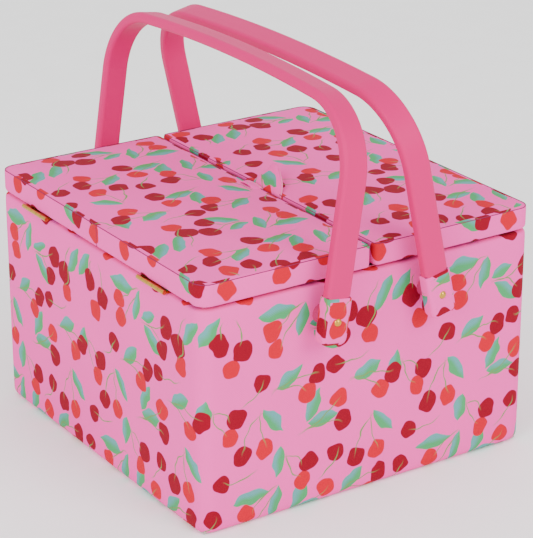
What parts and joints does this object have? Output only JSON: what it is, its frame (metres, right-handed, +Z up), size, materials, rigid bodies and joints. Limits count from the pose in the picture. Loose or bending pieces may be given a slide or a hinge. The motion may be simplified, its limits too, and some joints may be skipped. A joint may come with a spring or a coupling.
{
  "type": "sewing box",
  "caption": "Fabric-covered sewing box with hinged lids that meet in the middle, swinging carry handles and lift-out compartment trays.",
  "frame": {"origin": "centre of the underside, on the surface the box stands on", "axes": "+X across both lids from the left lid to the right one, +Y towards the back, +Z up"},
  "size_m": [0.2666, 0.3064, 0.2774],
  "materials": {
    "printed_cotton": "pink cotton printed all over with cherries and leaves",
    "lining_cloth": "plain pale pink cotton sateen",
    "base_cloth": "plain pink woven cloth",
    "greyboard": "pressed grey board",
    "wadding": "white polyester wadding",
    "handle_plastic": "pink moulded plastic, satin",
    "tray_plastic": "white moulded plastic, satin",
    "spacer_plastic": "pink moulded plastic, matt",
    "cushion_cloth": "plain red cotton",
    "elastic": "gathered casing over woven elastic",
    "brass": "polished brass plate"
  },
  "bodies": {
    "box": {"back_board": "greyboard", "back_tray_rest": "lining_cloth", "base_board": "greyboard", "base_cloth": "base_cloth", "box_cover": "printed_cotton", "box_hinge_screws": "brass", "floor_lining": "lining_cloth", "front_board": "greyboard", "front_tray_rest": "lining_cloth", "left_back_handle_spacer": "spacer_plastic", "left_back_hinge_box_leaf": "brass", "left_back_hinge_pin": "brass", "left_back_rivet": "brass", "left_board": "greyboard", "left_front_handle_spacer": "spacer_plastic", "left_front_hinge_box_leaf": "brass", "left_front_hinge_pin": "brass", "left_front_rivet": "brass", "right_back_handle_spacer": "spacer_plastic", "right_back_hinge_box_leaf": "brass", "right_back_hinge_pin": "brass", "right_back_rivet": "brass", "right_board": "greyboard", "right_front_handle_spacer": "spacer_plastic", "right_front_hinge_box_leaf": "brass", "right_front_hinge_pin": "brass", "right_front_rivet": "brass", "rivet_washers": "brass", "wall_lining": "lining_cloth", "wall_padding": "wadding"},
    "left_lid": {"left_back_hinge_lid_leaf": "brass", "left_front_hinge_lid_leaf": "brass", "left_lid_board": "greyboard", "left_lid_cover": "printed_cotton", "left_lid_hinge_screws": "brass", "left_lid_lining": "lining_cloth", "left_lid_padding": "wadding", "left_pull_tab": "printed_cotton", "lid_pocket": "lining_cloth", "pocket_elastic": "elastic"},
    "right_lid": {"pincushion": "cushion_cloth", "right_back_hinge_lid_leaf": "brass", "right_front_hinge_lid_leaf": "brass", "right_lid_board": "greyboard", "right_lid_cover": "printed_cotton", "right_lid_hinge_screws": "brass", "right_lid_lining": "lining_cloth", "right_lid_padding": "wadding", "right_pull_tab": "printed_cotton"},
    "left_bail": {"left_back_socket": "printed_cotton", "left_front_socket": "printed_cotton", "left_handle": "handle_plastic"},
    "right_bail": {"right_back_socket": "printed_cotton", "right_front_socket": "printed_cotton", "right_handle": "handle_plastic"},
    "left_tray_unit": {"left_tray": "tray_plastic"},
    "right_tray_unit": {"right_tray": "tray_plastic"}
  },
  "joints": [
    {"name": "left_lid_hinge", "type": "hinge", "parent": "box", "child": "left_lid", "pos_m": [-0.1318, 0, 0.15575], "axis": [0, -1, 0], "range_deg": [0, 105]},
    {"name": "right_lid_hinge", "type": "hinge", "parent": "box", "child": "right_lid", "pos_m": [0.1318, 0, 0.15575], "axis": [0, 1, 0], "range_deg": [0, 105]},
    {"name": "left_handle_swing", "type": "hinge", "parent": "box", "child": "left_bail", "pos_m": [-0.041, 0, 0.135], "axis": [0, -1, 0], "range_deg": [-2.5, 138.9]},
    {"name": "right_handle_swing", "type": "hinge", "parent": "box", "child": "right_bail", "pos_m": [0.041, 0, 0.135], "axis": [0, 1, 0], "range_deg": [-2.6, 142.8]},
    {"name": "left_tray_lift", "type": "slide", "parent": "box", "child": "left_tray_unit", "axis": [0, 0, 1], "range_m": [0, 0.02]},
    {"name": "right_tray_lift", "type": "slide", "parent": "box", "child": "right_tray_unit", "axis": [0, 0, 1], "range_m": [0, 0.013]}
  ]
}
